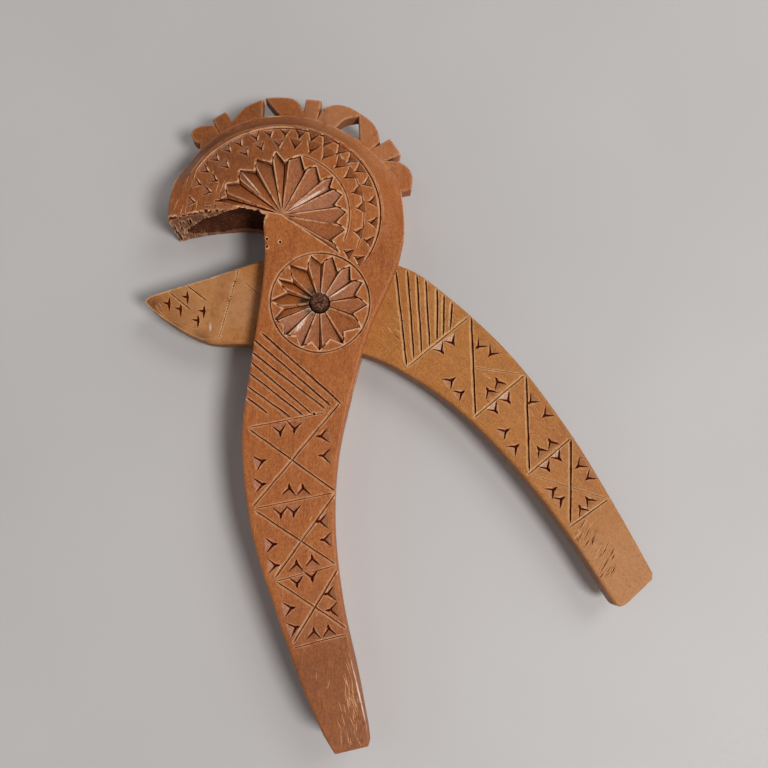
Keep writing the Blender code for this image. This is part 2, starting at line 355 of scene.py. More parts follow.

# Long narrow places polished by use, each with a pale painted highlight: centre, heading, half length and
# half width.
RED_POLISH_HIGHLIGHTS = [
    ((-5.6, -6.3, 18), 54, 3.8, 0.9),
    ((-3.4, 31.6, 18), 33, 8, 0.5),
    ((-20.5, 36, 18), 130, 6, 0.35),
    ((4.6, 46.6, 18.5), -50, 1.6, 1),
    ((7, 44, 18.5), -50, 1.6, 0.9),
    ((9.8, 41.6, 18.5), -55, 2, 1.2),
    ((13.3, 37.4, 18.5), -60, 2, 1.2),
    ((5.6, 3.3, 18), 30, 4, 0.35),
]
RED_EDGE_POLISH_HIGHLIGHTS = [
    ((11.6, -116.4, 18.7), -76.6, 14, 0.34),
]
HONEY_POLISH_HIGHLIGHTS = [
    ((-33.9, -5.7, 12.4), 90, 1.8, 0.55),
]

# The wood's dark, middle, light and worn tone. The worn tone also serves as painted highlight on the edges.
RED = [(0.25, 0.06, 0.011), (0.4, 0.114, 0.021), (0.5, 0.168, 0.038), (0.8, 0.43, 0.23)]
# The pale tones go on the cuts' clean walls: fresh-cut wood, and painted highlight on the walls that face the
# lamps.
RED_PALE = [(0.38, 0.125, 0.038), (0.58, 0.245, 0.092), (0.76, 0.39, 0.20), (0.88, 0.58, 0.38)]
RED_FACET = [(0.18, 0.04, 0.006), (0.33, 0.09, 0.015), (0.45, 0.145, 0.032), (0.82, 0.46, 0.26)]
RED_CHIP = [(0.25, 0.065, 0.018), (0.4, 0.135, 0.045), (0.54, 0.215, 0.095), (0.8, 0.46, 0.28)]
HONEY = [(0.28, 0.086, 0.012), (0.43, 0.152, 0.024), (0.54, 0.215, 0.046), (0.85, 0.52, 0.28)]
# The pale tones of the cuts' clean walls: fresh-cut wood, and painted highlight on the walls that face the
# lamps.
HONEY_PALE = [(0.42, 0.165, 0.04), (0.64, 0.325, 0.115), (0.8, 0.47, 0.21), (0.92, 0.64, 0.4)]
HONEY_CHIP = [(0.28, 0.09, 0.02), (0.43, 0.165, 0.045), (0.56, 0.255, 0.10), (0.88, 0.58, 0.36)]
# Tones of the cuts' stained bottoms: stain, and painted shade in the narrow cuts.
STAIN_AND_SHADE = [(0.06, 0.005, 0.001), (0.12, 0.012, 0.001), (0.2, 0.03, 0.003), (0.45, 0.16, 0.05)]
# The hollow's tones are near-black: dirt, and painted shade inside the hollow.
HOLLOW_DIRT_AND_SHADE = [(0.03, 0.005, 0.001), (0.062, 0.014, 0.004), (0.17, 0.056, 0.02), (0.38, 0.17, 0.08)]

# The crevices' colour: grime, and painted shade where ambient occlusion finds them.
GRIME_AND_SHADE = (0.042, 0.005, 0.001, 1)
# The side walls' colour: dirt, and painted shade on walls that face away from the lamps above.
SIDE_DIRT_AND_SHADE = (0.1, 0.045, 0.026, 1)
# The pale tint of a painted highlight on the polished places.
PAINTED_HIGHLIGHT = (0.8, 0.62, 0.5, 1)

# The grain's directions, how far the dirt and painted shade in crevices and the wear and painted highlight on
# edges look for other faces, and the depth of a polished place with its painted highlight.
MAIN_GRAIN = 88.0
INNER_GRAIN = -52.0
CUT_REACH = 1.6
EDGE_REACH = 0.6
POLISH_HIGHLIGHT_REACH = 3.0

# ---- Design of the stage, in metres ----

# The floor's level and flat radius, its rim's curve and height, and where it begins to glow.
FLOOR_LEVEL = -0.02 * MM
COVE_START = 2.2
COVE_RADIUS = 1.0
COVE_TOP = 2.6
COVE_STEPS = 12
COVE_SIDES = 96
GLOW_START = 0.9
BACKDROP_GLOW = 0.5

LIGHT_TARGET = (0.02, -0.03, 0.0)
WARM_WHITE = (1.0, 0.99, 0.975)
WORLD_STRENGTH = 0.01
CAMERA_PLACE = (0.00765, -0.06645, 0.25)


def polar(angle, radius):
    turn = math.radians(angle)
    return Vector((math.cos(turn), math.sin(turn))) * radius


def on_ellipse(angle, share):
    """The point of the head's ellipse, made smaller by share, at this angle from the fan's centre."""
    turn = math.radians(angle)
    a, b = HEAD_ELLIPSE
    radius = share / math.hypot(math.cos(turn) / a, math.sin(turn) / b)
    return FAN_CENTRE + polar(angle, radius)


def smoothstep(low, high, value):
    t = min(max((value - low) / (high - low), 0.0), 1.0)
    return t * t * (3.0 - 2.0 * t)


def placed(name, data, collection=None):
    """A new object in the scene, or in the given collection."""
    made = bpy.data.objects.new(name, data)
    (collection or bpy.context.scene.collection).objects.link(made)
    return made


def built(name, bm, collection=None):
    """A new object with the mesh that was under construction."""
    mesh = bpy.data.meshes.new(name)
    bm.to_mesh(mesh)
    bm.free()
    return placed(name, mesh, collection)


# ---- Cutters ----


class Bench:
    """The cutters for one piece, all in one collection."""

    def __init__(self, name, seed):
        self.collection = bpy.data.collections.new(name)
        bpy.context.scene.collection.children.link(self.collection)
        self.chance = random.Random(seed)

    def add(self, points, faces, slot=FACET_SLOT):
        bm = bmesh.new()
        corners = [bm.verts.new(Vector(point) * MM) for point in points]
        for face in faces:
            bm.faces.new([corners[i] for i in face])
        self.add_bmesh(bm, slot)

    def add_bmesh(self, bm, slot):
        bmesh.ops.recalc_face_normals(bm, faces=bm.faces)
        for face in bm.faces:
            face.material_index = slot
        built("cutter", bm, self.collection)

    def vary(self, amount):
        return self.chance.uniform(-amount, amount)

    def nudged(self, point, amount):
        return Vector((point[0] + self.vary(amount), point[1] + self.vary(amount)))


def at_depth(front, point, depth):
    return (point[0], point[1], front - depth)


def sideways(start, end):
    ahead = (end - start).normalized()
    return Vector((-ahead.y, ahead.x))


def sides_of(line, closed):
    """The direction to the left of a line at each of its points."""
    before = [line[-1] if closed else line[0]] + line[:-1]
    after = line[1:] + [line[0] if closed else line[-1]]
    return [sideways(*ends) for ends in zip(before, after)]


def tube(total, ring, closed=False):
    """The faces of a tube whose points are in equal rings. An open one has an end at each side."""
    faces = []
    for start in range(0, total if closed else total - ring, ring):
        for i in range(ring):
            j = (i + 1) % ring
            faces.append((start + i, start + j, (start + ring + j) % total, (start + ring + i) % total))
    if not closed:
        faces += [tuple(range(ring)), tuple(range(total - ring, total))]
    return faces


def v_groove(bench, front, line, width, depth, closed, slot):
    """A V-shaped cut along a line of (place, share of the depth)."""
    points = []
    for (point, share), side in zip(line, sides_of([point for point, _ in line], closed)):
        side *= width / 2 * share * (1.0 + SKIRT / (depth * share))
        points.append(at_depth(front, point + side, -SKIRT))
        points.append(at_depth(front, point, depth * share))
        points.append(at_depth(front, point - side, -SKIRT))
    bench.add(points, tube(len(points), 3, closed), slot)


def groove(bench, front, line, width, depth, closed=False, dark_share=DARK_SHARE):
    """A cut with clean, pale upper walls and a stained bottom, shifted right as painted shade onto the wall
    that faces away from the lamps. An open one fades out at its ends.
    """
    last = len(line) - 1
    clean, stained = [], []
    for i, (point, side) in enumerate(zip(line, sides_of(line, closed))):
        share = (1.0 if closed or 0 < i < last else FADED_END) * (1.0 + bench.vary(GROOVE_UNEVEN))
        clean.append((point, share))
        # Painted shade: the stained bottom is shifted towards +X, onto the wall that faces away from the
        # lamps.
        stained.append((point + side * (side.x * SHADE_SIDE_SHIFT * width), share))
    v_groove(bench, front, clean, width, depth, closed, GROOVE_SLOT)
    v_groove(bench, front, stained, dark_share * width, STAIN_REACH * depth, closed, STAIN_AND_SHADE_SLOT)


def stab(bench, front, ends, depths, shares, width=STAB_WIDTH):
    """A narrow stained wedge along the bottom of a cut, dark as stain and as painted shade, with a depth and
    a share of its size at each end.
    """
    side = sideways(*ends)
    points = []
    for place, depth, share in zip(ends, depths, shares):
        half = width / 2 * (STAB_RISE / STAB_DEPTH + share)
        points.append(at_depth(front, place + side * half, depth - STAB_RISE))
        points.append(at_depth(front, place, depth + STAB_DEPTH * share))
        points.append(at_depth(front, place - side * half, depth - STAB_RISE))
    bench.add(points, tube(6, 3), STAIN_AND_SHADE_SLOT)


def straight_groove(bench, front, ends, width, depth, dark_share=DARK_SHARE):
    """A straight cut by hand: a little uneven along its length."""
    start, end = Vector(ends[0]), Vector(ends[1])
    length = (end - start).length
    fade = min(LINE_FADE, length / 3)
    count = max(1, round((length - 2 * fade) / LINE_STOP))
    stops = [fade + (length - 2 * fade) * i / count for i in range(count + 1)]
    ahead = (end - start) / length
    line = [start] + [bench.nudged(start + ahead * stop, LINE_WOBBLE) for stop in stops] + [end]
    groove(bench, front, line, width, depth, dark_share=dark_share)


def curve_points(place_at, first, last):
    """Points along place_at(angle), from the first angle to the last."""
    count = round((last - first) / CURVE_STEP)
    return [place_at(first + (last - first) * i / count) for i in range(count + 1)]


def chip(bench, front, centre, heading, reach, depth, sink=0.38, lean=0.0, stain_and_shade=1.25, slot=CHIP_SLOT):
    """A three-sided chip, deepest towards the corner that it points with, with a stab along each valley."""
    centre = Vector(centre)
    corners = [bench.nudged(centre + polar(heading + turn, reach), CORNER_WOBBLE) for turn in (0, 120, 240)]
    deepest = centre + polar(heading, reach * sink) + Vector((reach * lean, 0.0))
    low = depth * (1.0 + bench.vary(DEPTH_UNEVEN))
    points = [at_depth(front, corner, -SKIRT) for corner in corners]
    points += [at_depth(front, corner, LIP) for corner in corners]
    points.append(at_depth(front, deepest, low))
    faces = [(0, 1, 2)]
    for i in range(3):
        j = (i + 1) % 3
        faces.append((i, j, 3 + j, 3 + i))
        faces.append((3 + i, 3 + j, 6))
    bench.add(points, faces, slot)
    for corner in corners:
        stab(bench, front, (corner, deepest), (LIP, low), CHIP_STABS, stain_and_shade * STAB_WIDTH)


def star(bench, front, centre):
    """Cuts that meet at their deepest point."""
    for heading, length in STAR_ARMS:
        end = bench.nudged(Vector(centre) + polar(heading, length), STAR_WOBBLE)
        line = [(Vector(centre).lerp(end, reach), share) for reach, share in STAR_PROFILE]
        v_groove(bench, front, line, STAR_WIDTH, STAR_DEPTH, False, STAIN_AND_SHADE_SLOT)


def ray_rim(bench, tip, notch, valley, depth):
    """The rim of one ray as places and depths: a steep narrow side by the valley, and a wide gentle one."""
    low = depth * (1.0 + bench.vary(DEPTH_UNEVEN))
    if valley == NOTCH:
        return [(tip, MIDDLE_SHARE * low), (notch.lerp(tip, STEEP_SHARE), RIDGE_DEPTH), (notch, low)]
    return [(tip, low), (tip.lerp(notch, STEEP_SHARE), RIDGE_DEPTH), (notch, MIDDLE_SHARE * low)]


def sunburst(bench, front, centre, rim, closed, hub):
    """Facets between the centre, which is hub deep, and a zigzag rim of places and depths."""
    rim = [(centre + place, low) for place, low in rim]
    count = len(rim)
    points = [at_depth(front, point, -SKIRT) for point, _ in rim]
    points += [at_depth(front, point, low) for point, low in rim]
    points += [at_depth(front, centre, -SKIRT), at_depth(front, centre, hub)]
    top_hub, low_hub = 2 * count, 2 * count + 1
    spans = range(count if closed else count - 1)
    faces = []
    for i in spans:
        j = (i + 1) % count
        faces.append((i, j, count + j, count + i))
        faces.append((top_hub, i, j))
        faces.append((low_hub, count + i, count + j))
    if not closed:
        faces.append((top_hub, 0, count, low_hub))
        faces.append((top_hub, count - 1, 2 * count - 1, low_hub))
    bench.add(points, faces)
    for i in spans:
        (place, low), (next_place, next_low) = rim[i], rim[(i + 1) % count]
        stab(bench, front, (place, next_place), (low, next_low), RIM_STABS)
        if low > VALLEY_DEPTH:
            inner = centre.lerp(place, VALLEY_START)
            stab(bench, front, (inner, place), (hub + VALLEY_START * (low - hub), low), VALLEY_STABS)


def nick(bench, centre, halves, slot):
    """A small crushed or broken-out spot: a lopsided block of the given half sizes, turned a little."""
    turn = Matrix.Rotation(bench.vary(NICK_TURN), 3, "Z") @ Matrix.Rotation(bench.vary(NICK_TURN), 3, "X")
    corners = []
    for sides in product((-1, 1), repeat=3):
        corner = [side * half * (1.0 + bench.vary(NICK_UNEVEN)) for side, half in zip(sides, halves)]
        corners.append(Vector(centre) + turn @ Vector(corner))
    faces = [(0, 1, 3, 2), (4, 6, 7, 5), (0, 4, 5, 1), (2, 3, 7, 6), (0, 2, 6, 4), (1, 5, 7, 3)]
    bench.add(corners, faces, slot)


def scratches(bench, front, patch, width=0.28, depth=0.09, slots=SCRATCH_SLOTS):
    """Short scratches about a place, all in nearly one direction."""
    count, middle, spread, heading, lengths = patch
    for _ in range(count):
        centre = Vector((middle[0] + bench.vary(spread[0]), middle[1] + bench.vary(spread[1])))
        half = polar(heading + bench.vary(SCRATCH_TURN), bench.chance.uniform(*lengths) / 2)
        bend = bench.nudged(centre, SCRATCH_WOBBLE)
        line = [(centre - half, SCRATCH_END), (bend, 1.0), (centre + half, SCRATCH_END)]
        v_groove(bench, front, line, width, depth, False, bench.chance.choice(slots))


# ---- Carved pieces ----


def welded_copy(node, name):
    """A copy of a CAD node as one closed mesh."""
    bm = bmesh.new()
    bm.from_mesh(node.data)
    bmesh.ops.remove_doubles(bm, verts=bm.verts, dist=WELD_REACH)
    for face in bm.faces:
        face.material_index = SURFACE_SLOT
    return built(name, bm)


def fins(bm):
    """The faces of paper-thin leftovers, which have a twin back to back or an open edge."""
    twins = Counter(frozenset(face.verts) for face in bm.faces)
    return [
        face
        for face in bm.faces
        if twins[frozenset(face.verts)] > 1 or any(len(edge.link_faces) == 1 for edge in face.edges)
    ]


def crumbs(bm):
    """The faces of loose bits: all that don't hang together with the first face."""
    bm.faces.ensure_lookup_table()
    piece = {bm.faces[0]}
    newest = [bm.faces[0]]
    while newest:
        around = {face for edge in newest.pop().edges for face in edge.link_faces} - piece
        piece |= around
        newest += around
    return [face for face in bm.faces if face not in piece]


def clean(mesh):
    """Welds what the cuts left a hair apart, then takes away fins and crumbs."""
    bm = bmesh.new()
    bm.from_mesh(mesh)
    bmesh.ops.triangulate(bm, faces=bm.faces)
    bmesh.ops.remove_doubles(bm, verts=bm.verts, dist=WELD_REACH)
    while fins(bm):
        bmesh.ops.delete(bm, geom=fins(bm), context="FACES")
    bmesh.ops.delete(bm, geom=crumbs(bm), context="FACES")
    bm.to_mesh(mesh)
    bm.free()


def carved(piece, bench, materials):
    """Takes the bench's cutters out of the piece and keeps the result as its mesh."""
    for material in materials:
        piece.data.materials.append(material)
    for cutter in bench.collection.objects:
        for material in materials:
            cutter.data.materials.append(material)
    cut = piece.modifiers.new("carving", "BOOLEAN")
    cut.operation = "DIFFERENCE"
    cut.operand_type = "COLLECTION"
    cut.collection = bench.collection
    cut.solver = "MANIFOLD"
    bpy.context.view_layer.update()
    graph = bpy.context.evaluated_depsgraph_get()
    mesh = bpy.data.meshes.new_from_object(piece.evaluated_get(graph))
    mesh.name = piece.name
    clean(mesh)
    piece.modifiers.remove(cut)
    piece.data = mesh
    for cutter in list(bench.collection.objects):
        bpy.data.objects.remove(cutter, do_unlink=True)
    bpy.data.collections.remove(bench.collection)
    return piece


def shade(piece):
    """Smooth shading, with the sharper edges kept sharp."""
    bm = bmesh.new()
    bm.from_mesh(piece.data)
    for face in bm.faces:
        face.smooth = True
    for edge in bm.edges:
        carved_edge = any(face.material_index in CARVED_SLOTS for face in edge.link_faces)
        limit = math.radians(CARVED_SMOOTH if carved_edge else PLAIN_SMOOTH)
        edge.smooth = edge.calc_face_angle(math.pi) < limit
    bm.to_mesh(piece.data)
    bm.free()
    weigh = piece.modifiers.new("flat faces stay flat", "WEIGHTED_NORMAL")
    weigh.keep_sharp = True
    weigh.weight = 100


def finished(node, name, bench, materials):
    """The carved and shaded visual piece for a CAD node."""
    piece = carved(welded_copy(node, name), bench, materials)
    shade(piece)
    return piece


def carve_rosette(bench):
    rim = []
    for tip, angle, radius, valley in ROSETTE_RAYS:
        rim += ray_rim(bench, polar(tip, ROSETTE_TIP), polar(angle, radius), valley, depth=1.9)
    sunburst(bench, MAIN_FRONT, ROSETTE_CENTRE, rim, closed=True, hub=0.7)
    ring = [polar(angle, ROSETTE_RING) for angle in range(0, 360, RING_STEP)]
    groove(bench, MAIN_FRONT, ring, width=0.7, depth=0.45, closed=True)


def carve_fan(bench):
    rim = []
    for tip, tip_radius, angle, radius in FAN_RAYS:
        rim += ray_rim(bench, polar(tip, tip_radius), polar(angle, radius), NOTCH, depth=2.0)
    rim.append((polar(*FAN_LAST_TIP), RIDGE_DEPTH))
    sunburst(bench, MAIN_FRONT, FAN_CENTRE, rim, closed=False, hub=0.35)


def carve_head_chip(bench, angle, share):
    """A chip that points at the fan's centre."""
    worn = smoothstep(*ROW_WORN, angle)
    crisp = smoothstep(*ROW_CRISP, angle) * (1.0 - smoothstep(*ROW_DULL, angle))
    reach = 2.1 + 0.7 * crisp - 0.2 * worn
    point = on_ellipse(angle, share)
    outward = (point - FAN_CENTRE).normalized()
    heading = math.degrees(math.atan2(-outward.y, -outward.x))
    depth = 1.15 + 0.15 * crisp - 0.45 * worn
    lean = 0.55 * smoothstep(*ROW_LEAN, angle) - 0.25
    stain_and_shade = 1.0 - 0.3 * crisp
    chip(bench, MAIN_FRONT, point + outward * reach, heading, reach, depth, 0.3, lean, stain_and_shade, FACET_SLOT)


def carve_head_rows(bench):
    for share, angles in HEAD_ROWS:
        for angle in angles:
            carve_head_chip(bench, angle, share)


def carve_head_lines(bench):
    def outer(angle):
        return on_ellipse(angle, 1.0)

    def first(angle):
        return FAN_CENTRE + polar(angle, FIRST_RADIUS - FIRST_SINK * smoothstep(*FIRST_BEND, angle))

    def second(angle):
        return FAN_CENTRE + polar(angle, SECOND_RADIUS)

    groove(bench, MAIN_FRONT, curve_points(outer, *OUTER_LINE), width=0.85, depth=0.4)
    groove(bench, MAIN_FRONT, curve_points(outer, *FAINT_OUTER_LINE), width=0.45, depth=0.2)
    groove(bench, MAIN_FRONT, curve_points(first, *FIRST_LINE), width=0.8, depth=0.35, dark_share=THIN_DARK_SHARE)
    groove(bench, MAIN_FRONT, curve_points(second, *SECOND_LINE), width=0.6, depth=0.3, dark_share=THIN_DARK_SHARE)


def carve_cuts(bench, front, cuts, width, depth, dark_share=DARK_SHARE):
    for ends in cuts:
        straight_groove(bench, front, ends, width, depth, dark_share)


def carve_chips(bench, front, pairs, reach, depth):
    for heading, *centres in pairs:
        for centre in centres:
            chip(bench, front, centre, heading + bench.vary(HEADING_WOBBLE), reach, depth)


def slope_shoulder(bench):
    """A soft slope from the head's outer line down to the crest, fading out at both ends."""
    points = []
    for angle in range(SLOPE_RIGHT[0], SLOPE_LEFT[1] + 1, SLOPE_STEP):
        fade = smoothstep(*SLOPE_RIGHT, angle) * (1.0 - smoothstep(*SLOPE_LEFT, angle))
        for i, (share, depth) in enumerate(SLOPE_PROFILE):
            sunk = depth * fade + LIP if i else -SKIRT
            points.append(at_depth(MAIN_FRONT, on_ellipse(angle, share), sunk))
        points.append(at_depth(MAIN_FRONT, on_ellipse(angle, SLOPE_PROFILE[-1][0]), -SKIRT))
    bench.add(points, tube(len(points), len(SLOPE_PROFILE) + 1), SURFACE_SLOT)


def carve_marks(bench):
    """What years of use left on the front: scratches and small pits."""
    for patch in MAIN_SCRATCHES:
        scratches(bench, MAIN_FRONT, patch)
    for patch in MAIN_PALE_SCRATCHES:
        scratches(bench, MAIN_FRONT, patch, slots=PALE_SCRATCH_SLOTS)
    for place in NECK_PITS:
        nick(bench, (*place, MAIN_FRONT), PIT_HALVES, STAIN_AND_SHADE_SLOT)


def scoop_hollow(bench):
    """The rough hollow that holds the nut."""
    for centre, radii in HOLLOWS:
        bm = bmesh.new()
        bmesh.ops.create_icosphere(bm, subdivisions=5, radius=1.0)
        for vert in bm.verts:
            rough = 0.16 * noise.noise(vert.co * 3.0 + Vector(centre)) + 0.05 * noise.noise(vert.co * 14.0)
            spot = vert.co * (1.02 + max(rough, -0.01))
            vert.co = Vector([c + r * s for c, r, s in zip(centre, radii, spot)]) * MM
        bench.add_bmesh(bm, HOLLOW_SLOT)


def jaw_edge(x):
    """How high the upper jaw's lower edge runs at X."""
    return JAW_EDGE - JAW_FALL * smoothstep(*JAW_BEND, x)


def chew_edge(bench):
    """The upper jaw's front edge is crushed and broken by years of nuts."""
    first, last = CHEWED_EDGE
    for i in range(EDGE_NICKS):
        x = first + (last - first) * i / EDGE_NICKS + bench.vary(0.3)
        half = bench.chance.uniform(0.2, 0.5)
        place = (x, jaw_edge(x) - 0.2 + bench.vary(0.25), 18.5 + bench.vary(0.5))
        nick(bench, place, (half, half, 1.2 * half), HOLLOW_SLOT)


def chew_ramp(bench):
    """So is the ramp under the jaw's tip, where the nicks run from front to back."""
    first, last = CHEWED_RAMP
    for i in range(RAMP_NICKS):
        x = first + (last - first) * bench.chance.random()
        halves = (0.16, bench.chance.uniform(0.3, 0.6), bench.chance.uniform(1.5, 4.0))
        place = (x, jaw_edge(x) - 0.1, bench.chance.uniform(4.0, 17.0 - halves[2]))
        nick(bench, place, halves, RAMP_SLOTS[i % len(RAMP_SLOTS)])


def build_main_lever(node, materials):
    bench = Bench("main_cutters", seed=3)
    carve_rosette(bench)
    carve_fan(bench)
    carve_head_rows(bench)
    carve_head_lines(bench)
    carve_cuts(bench, MAIN_FRONT, NECK_CUTS, width=0.95, depth=0.55)
    carve_cuts(bench, MAIN_FRONT, MAIN_CUTS, width=0.9, depth=0.5)
    carve_cuts(bench, MAIN_FRONT, MAIN_CLEAN_CUTS, width=0.95, depth=0.6, dark_share=THIN_DARK_SHARE)
    carve_cuts(bench, MAIN_FRONT, MAIN_FAINT_CUTS, width=0.6, depth=0.35)
    carve_chips(bench, MAIN_FRONT, MAIN_CHIPS, reach=2.65, depth=1.0)
    carve_marks(bench)
    slope_shoulder(bench)
    scoop_hollow(bench)
    chew_edge(bench)
    chew_ramp(bench)
    return finished(node, "carved_main_lever", bench, materials)


def shave_beak(bench):
    """The beak's front is shaved lower than the hub, with a soft slope between."""
    top, bottom = (Vector(place) for place in SHAVE_LINE)
    along = (bottom - top).normalized()
    out = Vector((along.y, -along.x))
    drop = INNER_FRONT - BEAK_FRONT
    profile = [(0.0, -SKIRT), (0.0, SHAVE_LIP)]
    for i in range(1, SHAVE_STEPS + 1):
        share = i / SHAVE_STEPS
        profile.append((SHAVE_START + SHAVE_RUN * share, drop * smoothstep(0.0, 1.0, share) + SHAVE_LIP))
    profile += [(SHAVE_END, drop), (SHAVE_END, -SKIRT)]
    points = []
    for end in (top - along * SHAVE_PAST, bottom + along * SHAVE_PAST):
        points += [at_depth(INNER_FRONT, end + out * reach, depth) for reach, depth in profile]
    bench.add(points, tube(len(points), len(profile)))


def score_fold(bench):
    """A dotted line where the beak's slope begins."""
    start, end = (Vector(place) for place in BEAK_FOLD)
    count = round((end - start).length / DOT_STEP)
    straight_groove(bench, INNER_FRONT, BEAK_FOLD, width=0.35, depth=0.12)
    for i in range(count):
        x, y = bench.nudged(start.lerp(end, i / count), 0.12)
        half = bench.chance.uniform(0.12, 0.22)
        nick(bench, (x, y, INNER_FRONT), (half, half, 0.3), STAIN_AND_SHADE_SLOT)


def build_inner_lever(node, materials):
    bench = Bench("inner_cutters", seed=5)
    shave_beak(bench)
    carve_cuts(bench, INNER_FRONT, SHOULDER_CUTS, width=0.95, depth=0.5)
    carve_cuts(bench, INNER_FRONT, INNER_CUTS, width=1.0, depth=0.5)
    carve_cuts(bench, INNER_FRONT, INNER_CLEAN_CUTS, width=0.95, depth=0.5, dark_share=THIN_DARK_SHARE)
    carve_cuts(bench, INNER_FRONT, FAINT_INNER_CUTS, width=0.4, depth=0.2)
    carve_cuts(bench, BEAK_FRONT, BEAK_CUTS, width=0.7, depth=0.3)
    carve_cuts(bench, BEAK_FRONT, BEAK_SCRATCHES, width=0.4, depth=0.15)
    carve_cuts(bench, INNER_FRONT, HUB_SCRATCHES, width=0.4, depth=0.15)
    carve_chips(bench, INNER_FRONT, INNER_CHIPS, reach=2.45, depth=0.82)
    for centre in BEAK_STARS:
        star(bench, BEAK_FRONT, centre)
    score_fold(bench)
    for patch in INNER_HATCHES:
        scratches(bench, INNER_FRONT, patch, width=0.38, depth=0.15)
    for patch in INNER_SCRATCHES:
        scratches(bench, INNER_FRONT, patch)
    return finished(node, "carved_inner_lever", bench, materials)


# ---- Peg ----


def peg_levels(base, crown):
    """The peg's outline: shares of its radius, each at a height."""
    levels = [(0.9, base), (0.99, base + 0.3), (0.99, crown - 4.0), (0.88, crown - 0.75)]
    for i in range(CROWN_RINGS):
        rest = 1.0 - i / CROWN_RINGS
        levels.append((0.84 * rest ** 0.8, crown - 0.15 - 0.35 * rest ** 5))
    return levels


def crushed(x, y, share, height):
    """The height of a place on the peg's front end after it was crushed and split."""
    rough = noise.noise(Vector((x, y, 3.0)) * 1.3) + 0.5 * noise.noise(Vector((x, y, 7.0)) * 4.0)
    split = max(0.0, 1.0 - abs(y * 0.8 - x * 0.35 + 0.3) / 0.28)
    return height - 0.25 + 0.25 * rough - 0.7 * split * (1.0 - share)


def build_peg(name, material):
    """The whittled peg, with a crushed and split front end."""
    low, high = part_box("pivot_peg")
    radius, base, crown = high.x / MM, low.z / MM, high.z / MM
    bm = bmesh.new()
    loops = []
    for share, height in peg_levels(base, crown):
        loop = []
        for k in range(PEG_SIDES):
            angle = TAU * k / PEG_SIDES
            whittled = 1.0 - WHITTLE_DEPTH * (0.5 + 0.5 * math.cos(WHITTLE_FLATS * angle + 1.0))
            x, y = (radius * share * whittled * f(angle) for f in (math.cos, math.sin))
            z = height
            if height > crown - CRUSHED_LENGTH:
                z = min(crushed(x, y, share, height), crown - PEG_MARGIN)
            loop.append(bm.verts.new(Vector((x, y, z)) * MM))
        loops.append(loop)
    for lower, upper in zip(loops, loops[1:]):
        for k in range(PEG_SIDES):
            bm.faces.new((lower[k - 1], lower[k], upper[k], upper[k - 1]))
    bm.faces.new(loops[0])
    tip = bm.verts.new(Vector((0.0, 0.0, crown - PEG_DENT)) * MM)
    for k in range(PEG_SIDES):
        bm.faces.new((loops[-1][k - 1], loops[-1][k], tip))
    bmesh.ops.recalc_face_normals(bm, faces=bm.faces)
    peg = built(name, bm)
    peg.data.materials.append(material)
    peg.data.shade_smooth()
    peg.data.set_sharp_from_angle(angle=math.radians(PEG_SMOOTH))
    return peg


# ---- Materials ----


def rgb(red, green, blue):
    return (red, green, blue, 1.0)


class Graph:
    """A short way to write a material's nodes."""

    def __init__(self, name):
        self.material = bpy.data.materials.new(name)
        self.material.use_nodes = True
        self.tree = self.material.node_tree
        self.shader = self.tree.nodes["Principled BSDF"]

    def fill(self, socket, value):
        if isinstance(value, bpy.types.NodeSocket):
            self.tree.links.new(value, socket)
        else:
            socket.default_value = value

    def node(self, kind, inputs=None, **settings):
        made = self.tree.nodes.new("ShaderNode" + kind)
        for name, value in settings.items():
            setattr(made, name, value)
        for name, value in (inputs or {}).items():
            self.fill(made.inputs[name], value)
        return made

    def math(self, operation, *values):
        made = self.node("Math", dict(enumerate(values)), operation=operation)
        return made.outputs[0]

    def step(self, value, low, high, to_low=0.0, to_high=1.0):
        """Value mapped smoothly from low..high to to_low..to_high."""
        inputs = {"Value": value, "From Min": low, "From Max": high, "To Min": to_low, "To Max": to_high}
        return self.node("MapRange", inputs, interpolation_type="SMOOTHSTEP").outputs[0]

    def mix(self, share, first, second):
        return self.node("Mix", {0: share, 6: first, 7: second}, data_type="RGBA").outputs[2]

    def noise(self, place, scale, detail=3.0, roughness=0.55, distortion=0.0):
        inputs = {"Vector": place, "Scale": scale, "Detail": detail, "Roughness": roughness}
        return self.node("TexNoise", {**inputs, "Distortion": distortion}).outputs[0]

    def places(self, grain_angle=0.0):
        """The place in millimetres, and the same turned so that X runs along the grain."""
        source = self.node("TexCoord").outputs["Object"]
        place = self.node("Mapping", {"Vector": source, "Scale": (1.0 / MM,) * 3}).outputs[0]
        turned = self.node("Mapping", {"Vector": place, "Rotation": (0.0, 0.0, -math.radians(grain_angle))})
        return place, turned.outputs[0]

    def stretched(self, place, across, along):
        """Place squeezed so that what is drawn on it comes out long in the grain's direction."""
        inputs = {"Vector": place, "Scale": (along, across, across)}
        return self.node("Mapping", inputs).outputs[0]

    def length(self, place):
        return self.node("VectorMath", {0: place}, operation="LENGTH").outputs["Value"]

    def openness(self, reach, inside=False):
        """How open the surface is within reach: low in crevices, or with inside at edges."""
        settings = {"samples": 8, "only_local": True, "inside": inside}
        return self.node("AmbientOcclusion", {"Distance": reach * MM}, **settings).outputs["AO"]

    def bump(self, height, distance):
        inputs = {"Height": height, "Strength": 0.6, "Distance": distance * MM}
        self.fill(self.shader.inputs["Normal"], self.node("Bump", inputs).outputs[0])

    def surface(self, colour, rough, gloss=0.5):
        self.fill(self.shader.inputs["Base Color"], colour)
        self.fill(self.shader.inputs["Roughness"], rough)
        self.shader.inputs["Specular IOR Level"].default_value = gloss


